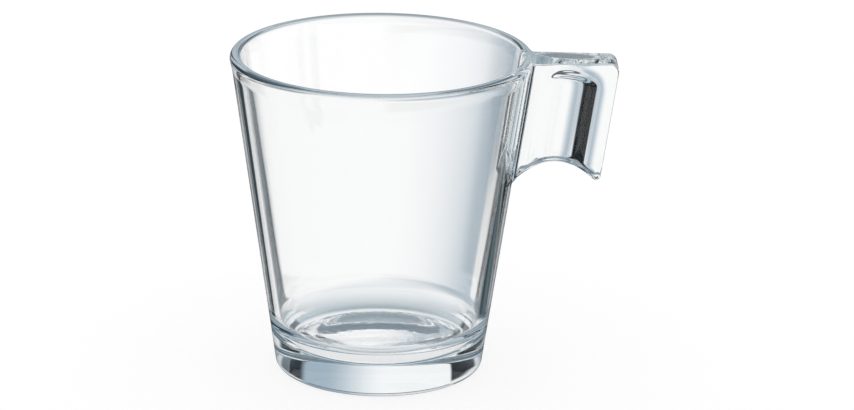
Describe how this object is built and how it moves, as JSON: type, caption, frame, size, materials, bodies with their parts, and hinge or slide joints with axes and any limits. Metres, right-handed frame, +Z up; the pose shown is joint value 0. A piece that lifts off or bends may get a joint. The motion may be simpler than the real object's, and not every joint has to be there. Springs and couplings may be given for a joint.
{
  "type": "glass teacup",
  "caption": "Clear glass teacup: a straight tapered bowl with a heavy base and a round rim, and a solid pinch handle with hollowed sides and an arched underside.",
  "frame": {"origin": "middle of the base, on the bowl's axis, in the plane the cup stands on", "axes": "+Z up along the bowl's axis to the rim, +X from the axis to the handle"},
  "size_m": [0.1019, 0.0796, 0.0865],
  "materials": {
    "glass": "clear pressed glass, fire-polished"
  },
  "bodies": {
    "root": {"bowl": "glass", "handle": "glass"}
  },
  "joints": []
}
